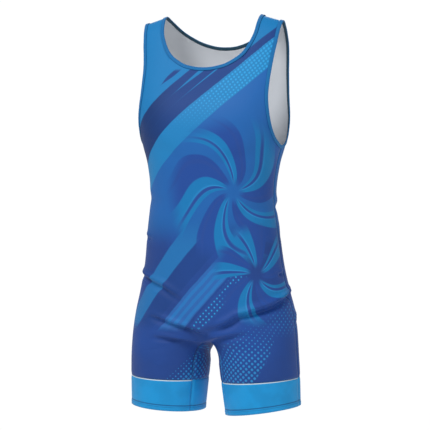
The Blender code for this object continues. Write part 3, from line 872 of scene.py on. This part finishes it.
class Print(Painter):
    """The garment's print: slanting bands, halftone dots and a burst of plain shards."""

    def finger(self, middle: float, width: float, start: float, end: float) -> Term:
        """A straight streak along the chest's bands that tapers from one drop to another."""
        away = (self.across(42.0) - middle).math("ABSOLUTE")
        return (away - self.drop.ramp(end, start) * width).ramp(0.0004, -0.0010)

    def chest(self, ground: "Term | str") -> Term:
        """The wide bands that slant over the chest and the straps."""
        slant = self.across(41.0, 0.0015)
        colour = self.over(ground, self.inks.medium, self.drop.ramp(0.46, 0.38))
        colour = self.over(colour, self.inks.azure, slant.ramp(0.064, 0.062))
        colour = self.over(colour, self.inks.navy, slant.between(0.063, 0.124, 0.0015))
        # painted shade: a darker copy of the same navy laid over the band towards the wearer's right, where
        # the cloth falls into shade
        navy_painted_shade = slant.between(0.063, 0.124, 0.0015) * self.u.ramp(-0.03, -0.12)
        colour = self.over(colour, "#173a76", navy_painted_shade)
        on_strap = self.u.ramp(0.070, 0.090)
        colour = self.over(colour, self.inks.azure, on_strap * slant.ramp(0.110, 0.108))
        for middle, width, start, end in ((0.079, 0.0042, 0.10, 0.165), (0.098, 0.0018, 0.10, 0.185)):
            colour = self.over(colour, self.inks.azure, self.finger(middle, width, start, end))
        lens = self.finger(0.044, 0.0050, 0.118, 0.142) * self.drop.ramp(0.104, 0.112)
        colour = self.over(colour, self.inks.navy, lens * self.u.ramp(-0.040, -0.050))
        half = slant.between(0.124, 0.168, 0.0015)
        colour = self.over(colour, "#2086c6", half)
        size = self.drop.ramp(0.25, 0.05) * 0.20 + 0.16
        return self.over(colour, self.inks.sky, half * self.dots(0.0070, size) * self.drop.ramp(0.245, 0.15))

    def waist(self, ground: "Term | str") -> Term:
        """The teal at the wearer's right waist and the patch below the left arm."""
        below_bands = self.across(41.0).ramp(0.160, 0.175)
        teal = self.drop.ramp(0.45, 0.36) * self.u.ramp(0.07, -0.06)
        colour = self.over(ground, self.inks.teal, teal * below_bands)
        patch = self.drop.between(0.205, 0.285, 0.03) * self.across(55.0).ramp(0.232, 0.240)
        colour = self.over(colour, self.inks.azure, patch)
        return self.over(colour, self.inks.sky, patch * self.dots(0.0080, 0.20) * 0.6)

    def burst(self, ground: "Term | str", middle: float, level: float, reach: float) -> Term:
        """A fan of plain curved shards that opens from a point.

        Args:
            ground: what it is printed on.
            middle: how far across its point is.
            level: the drop of its point.
            reach: how far it opens.

        Returns:
            The colour.
        """
        x = self.u - middle
        y = self.drop - level
        radius = (x * x + y * y).math("SQRT")
        turn = y.math("ARCTAN2", x) + radius * 7.0 + self.noise(4.5, 1.0) * 1.3
        fade = radius.ramp(reach, reach * 0.7) * radius.ramp(0.010, 0.030)
        colour = ground
        # ink, rays, the turn at which they start, and how wide they are (1 for none)
        shards = (
            (self.inks.royal, 5.0, 0.0, -0.25),
            (self.inks.azure, 5.0, 1.9, 0.20),
            ("#2f9add", 5.0, 2.2, 0.80),
            ("#29509f", 10.0, 3.0, 0.72),
        )
        for ink, rays, start, edge in shards:
            ray = (turn * rays + start).math("SINE") - radius * 1.2
            colour = self.over(colour, ink, ray.ramp(edge, edge + 0.16) * fade)
        return colour

    def hips(self, ground: "Term | str") -> Term:
        """The steeper bands over the belly and the hips."""
        slant = self.across(47.0, 0.002)
        lower = self.drop.ramp(0.37, 0.42) * self.drop.ramp(0.622, 0.600) * self.u.ramp(0.110, 0.080)
        colour = self.over(ground, "#2377bb", slant.between(0.262, 0.300, 0.003) * lower)
        colour = self.over(colour, self.inks.navy, slant.between(0.300, 0.340, 0.003) * lower * 0.6)
        striped = slant.between(0.352, 0.392, 0.003) * lower
        colour = self.over(colour, "#2a7cc6", striped)
        stripes = (slant * (2 * math.pi / 0.013)).math("SINE").ramp(-0.4, 0.4)
        colour = self.over(colour, "#3168b6", striped * stripes * 0.8)
        dotted = slant.between(0.398, 0.426, 0.002) * lower
        colour = self.over(colour, "#27509f", dotted)
        return self.over(colour, self.inks.sky, dotted * self.dots(0.0083, 0.20, 46.0))

    def legs(self, ground: "Term | str") -> Term:
        """Halftone areas inside the thighs and faint ones round the hips."""
        corner = self.u + self.drop
        inner = corner.ramp(0.636, 0.638) * self.u.ramp(0.030, 0.025) * self.drop.ramp(0.640, 0.655)
        ink = "#2f8fd2"
        colour = self.over(ground, ink, inner * self.dots(0.0075, corner.ramp(0.610, 0.712) * 0.47))
        outer = (self.u + self.drop * 0.58).ramp(0.524, 0.520)
        left = self.u.ramp(0.030, 0.034) * outer * corner.ramp(0.690, 0.720)
        colour = self.over(colour, ink, left * self.dots(0.0080, self.drop.ramp(0.56, 0.70) * 0.32))
        hip = self.drop.between(0.560, 0.618, 0.03) * self.u.math("ABSOLUTE").ramp(0.14, 0.18)
        return self.over(colour, ink, hip * self.dots(0.0080, 0.22) * 0.7)

    def cloth(self, face: Face) -> bpy.types.Material:
        """The whole print of one face.

        Args:
            face: which face of the garment it is for.

        Returns:
            The material.
        """
        shade = self.noise(6.0, 3.0).ramp(-0.25, 0.25)
        colour = self.over(self.inks.royal, "#24478f", shade)
        colour = self.chest(self.legs(self.waist(self.hips(colour))))
        colour = self.burst(colour, 0.075 * face.value, 0.345, 0.155)
        colour = self.burst(colour, 0.125 * face.value, 0.505, 0.105)
        seam = self.attribute("seam").between(0.0012, 0.0024, 0.0006)
        return self.finish(PRINTED, colour, seam)


class Cloths:
    """The garment's finishes."""

    def __init__(self, skin: Skin) -> None:
        """Makes the materials.

        Args:
            skin: the surface, for the sizes of its hems.
        """
        inks = Inks()
        self.panel = {face: Print(f"{PRINTED.name}, {face.name.lower()}", inks).cloth(face) for face in Face}
        self.lining = Painter(LINING.name, inks).finish(LINING, "#dfe3e9")
        self.band = {}
        for face in Face:
            painter = Painter(f"{BAND.name}, {face.name.lower()}", inks)
            self.band[face] = self.leg_band(face, skin, painter)
        self.tape = Painter(TAPE.name, inks).finish(TAPE, "#1d74b4")
        # painted shade: the tape's inner face is the same tape painted a dark slate, for where it lies in
        # shade inside the garment
        self.tape_inside = Painter(f"{TAPE.name}, inside", inks).finish(TAPE, "#2b5064")

    @staticmethod
    def leg_band(face: Face, skin: Skin, painter: Painter) -> bpy.types.Material:
        """The azure of the leg bands, with a pale top line on the front and dark twin stitches."""
        above = painter.attribute("hem")
        colour = painter.over("#1aa0e6", "#1898dc", painter.noise(30.0, 2.0).ramp(-0.2, 0.2))
        if face is Face.FRONT:
            top = skin.band_height
            colour = painter.over(colour, "#d5e6f0", above.between(top - 0.0018, top + 0.001, 0.0006))
        depth = skin.hem_depth
        rows = above.between(depth - 0.0012, depth + 0.0012, 0.0006)
        rows = rows + above.between(depth - 0.0042, depth - 0.0030, 0.0006) * 0.5
        return painter.finish(BAND, colour, rows)


@dataclass(frozen=True)
class Sheet:
    """A cut piece's flat width, length and area, as its maker cuts it."""

    width: float
    length: float
    area: float | None = None


def place(piece: bpy.types.Object, slot: str, sheet: Sheet) -> None:
    """Hands a finished piece to the frame and reports it.

    Args:
        piece: the piece, named for the node that it replaces.
        slot: its slot; not used.
        sheet: its flat size; not used.
    """
    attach(piece, "root")
    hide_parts(piece.name.removesuffix("_cloth"))
    area = sum(polygon.area for polygon in piece.data.polygons)
    LOG.info("%s: %d faces, %.4f m2", piece.name, len(piece.data.polygons), area)


def to_object(mesh: bmesh.types.BMesh, name: str, materials: list[bpy.types.Material]) -> bpy.types.Object:
    """Makes an object of a mesh, smooth and in its materials."""
    for polygon in mesh.faces:
        polygon.smooth = True
    data = bpy.data.meshes.new(name)
    mesh.to_mesh(data)
    mesh.free()
    for material in materials:
        data.materials.append(material)
    piece = bpy.data.objects.new(name, data)
    bpy.context.scene.collection.objects.link(piece)
    return piece


@dataclass
class Panels:
    """The front, the back and the four leg bands, as thin shells on the skin."""

    skin: Skin
    cloths: Cloths
    thickness: float = 0.0011
    sheets: dict[tuple[Face, bool], Sheet] = field(
        default_factory=lambda: {
            (Face.FRONT, False): Sheet(0.44, 0.77, 0.226),
            (Face.BACK, False): Sheet(0.47, 0.79, 0.248),
            (Face.FRONT, True): Sheet(0.180, 0.064),
            (Face.BACK, True): Sheet(0.270, 0.064),
        }
    )

    def build(self) -> None:
        """Cuts the skin into its pieces."""
        for name in self.skin.names:
            face = Face.FRONT if name.startswith("front") else Face.BACK
            band = "band" in name
            outside = (self.cloths.band if band else self.cloths.panel)[face]
            piece = to_object(self.skin.cut(name), f"{name}_cloth", [outside, self.cloths.lining])
            wall = piece.modifiers.new("cloth", "SOLIDIFY")
            wall.thickness = self.thickness
            wall.offset = -1
            wall.material_offset = 1
            place(piece, "leg_band" if band else "printed_knit", self.sheets[face, band])


@dataclass
class Binding:
    """A folded tape round a neck or armhole edge."""

    edge: CutEdge
    name: str
    sides: tuple[Side, ...]
    sheet: Sheet
    readings: int = 110  # to each half of the edge
    width: float = 0.0062
    half: float = 0.0016
    bend: float = 0.0012
    ply: float = 0.0006
    turns: int = 6

    def profile(self) -> list[tuple[float, float]]:
        """The fold's section: distances in from the edge and out from the cloth."""
        outer = [(self.width, self.half * 0.55), (self.width * 0.85, self.half * 0.98)]
        outer += [(self.width * 0.62, self.half * 0.86), (self.width * 0.35, self.half)]
        angles = [math.pi * step / self.turns for step in range(self.turns + 1)]
        fold = [(-self.bend * math.sin(a), self.half * math.cos(a)) for a in angles]
        inner = [(x, -y) for x, y in reversed(outer)]
        return outer + fold + inner

    def sections(self, side: Side) -> Iterator[list[Vector]]:
        """The sections round the edge on one side, from the back to the front."""
        figure = self.edge.figure
        whole = self.readings * 2
        for step in range(whole + 1):
            reading = step / self.readings - 1
            spot = self.edge.at(reading)
            here = figure.on_trunk(*spot)
            into = (figure.on_trunk(*self.edge.inset(reading, 0.004)) - here).normalized()
            out = figure.outward(*spot)
            pucker = 1 + 0.05 * math.sin(step * 2.1) + 0.04 * math.sin(step * 0.73)
            line = [here + into * x + out * y * pucker for x, y in self.profile()]
            yield [Vector((p.x * side.value, p.y, p.z)) for p in line]

    def loop(self) -> list[list[Vector]]:
        """The sections of the whole closed loop."""
        first = list(self.sections(self.sides[0]))
        if len(self.sides) == 1:
            return first[:-1]
        second = list(self.sections(self.sides[1]))[::-1]
        return first[:-1] + second[:-1]

    def build(self, cloths: Cloths) -> None:
        """Sweeps the tape.

        Args:
            cloths: the finishes.
        """
        rings, mesh = self.loop(), bmesh.new()
        uv = mesh.loops.layers.uv.new("print")
        count, width = len(rings), len(rings[0]) - 1
        bmesh.ops.create_grid(mesh, x_segments=width, y_segments=count, size=0.5)
        cells = {}
        for vert in mesh.verts:
            cells[vert] = (round((vert.co.y + 0.5) * count), round((vert.co.x + 0.5) * width))
        for polygon in mesh.faces:
            # the inner half of the fold takes the tape's painted shade
            polygon.material_index = int(min(cells[v][1] for v in polygon.verts) >= width // 2 + 1)
            for loop in polygon.loops:
                row, column = cells[loop.vert]
                loop[uv].uv = (row * 0.004, column * 0.001)
        for vert, (row, column) in cells.items():
            vert.co = rings[row % count][column]
        bmesh.ops.remove_doubles(mesh, verts=mesh.verts, dist=0.00001)
        mesh.normal_update()
        across = rings[0][0] - rings[0][-1]
        nearest = min(mesh.faces, key=lambda f: (f.calc_center_median() - rings[0][1]).length)
        if nearest.normal.dot(across) < 0:
            bmesh.ops.reverse_faces(mesh, faces=mesh.faces)
        piece = to_object(mesh, f"{self.name}_cloth", [cloths.tape, cloths.tape_inside])
        wall = piece.modifiers.new("cloth", "SOLIDIFY")
        wall.thickness = self.ply
        wall.offset = -1
        place(piece, "binding_tape", self.sheet)


@dataclass
class Studio:
    """A plain pale floor, soft lights and the camera."""

    floor_z: float = -1.41
    floor_radius: float = 3.0
    azimuth: float = 19.0
    elevation: float = 2.0
    distance: float = 3.4
    lens: float = 143.4
    aim: tuple[float, float, float] = (0.0013, 0.0005, -0.3934)

    def light(self, name: str, azimuth: float, elevation: float, size: float, power: float) -> None:
        """Adds a soft lamp that faces the garment.

        Args:
            name: its name.
            azimuth: degrees round from the front.
            elevation: degrees up.
            size: its width in metres.
            power: its watts.
        """
        data = bpy.data.lights.new(name, "AREA")
        data.shape, data.size, data.energy = "DISK", size, power
        lamp = bpy.data.objects.new(name, data)
        self.aim_at(lamp, azimuth, elevation, 3.0)
        bpy.context.scene.collection.objects.link(lamp)

    def aim_at(self, thing: bpy.types.Object, azimuth: float, elevation: float, distance: float) -> None:
        """Places a thing round the garment and turns it to face the middle."""
        a, e = math.radians(azimuth), math.radians(elevation)
        back = Vector((math.sin(a) * math.cos(e), -math.cos(a) * math.cos(e), math.sin(e)))
        thing.location = Vector(self.aim) + back * distance
        thing.rotation_euler = back.to_track_quat("Z", "Y").to_euler()

    def build(self) -> None:
        """Sets the floor, the world, the lamps and the camera."""
        scene = bpy.context.scene
        scene.view_settings.view_transform = "Standard"
        mesh = bmesh.new()
        bmesh.ops.create_circle(mesh, cap_ends=True, segments=96, radius=self.floor_radius)
        bmesh.ops.translate(mesh, verts=mesh.verts, vec=(0, 0, self.floor_z))
        painted = bpy.data.materials.new("matt white studio paint")
        painted.use_nodes = True
        shader = painted.node_tree.nodes["Principled BSDF"]
        shader.inputs["Base Color"].default_value = linear("#f4f4f4")
        shader.inputs["Roughness"].default_value = 0.9
        floor = to_object(mesh, "floor", [painted])
        world = bpy.data.worlds.new("white surround")
        world.use_nodes = True
        scene.world = world
        tree = world.node_tree
        tree.nodes.clear()
        seen = add(tree, "ShaderNodeLightPath")
        strength = seen * 0.62 + 0.40
        glow = add(tree, "ShaderNodeBackground", (1.0, 1.0, 1.0, 1.0), strength)
        output = tree.nodes.new("ShaderNodeOutputWorld")
        tree.links.new(glow.socket, output.inputs["Surface"])
        self.light("key", -20, 42, 1.2, 46)
        self.light("fill", 60, 15, 2.2, 14)
        self.light("back", 195, 35, 1.6, 34)
        data = bpy.data.cameras.new("camera")
        data.lens, data.sensor_width = self.lens, 36
        camera = bpy.data.objects.new("camera", data)
        self.aim_at(camera, self.azimuth, self.elevation, self.distance)
        scene.collection.objects.link(camera)
        scene.camera = camera


def main() -> None:
    """Builds the garment and its studio."""
    logging.basicConfig(level=logging.INFO, format="%(name)s: %(message)s")
    figure = Figure()
    skin = Skin(figure, CutEdge(figure, NECK_EDGE, 0.0, -1), CutEdge(figure, ARMHOLE_EDGE, 1.0, 1))
    skin.build()
    cloths = Cloths(skin)
    Panels(skin, cloths).build()
    both = (Side.LEFT, Side.RIGHT)
    Binding(skin.neck, "neck_binding", both, Sheet(0.73, 0.016)).build(cloths)
    for side in Side:
        name = f"armhole_binding_{side.name.lower()}"
        Binding(skin.armhole, name, (side,), Sheet(0.65, 0.016)).build(cloths)
    Studio().build()


if __name__ == "__main__":
    main()
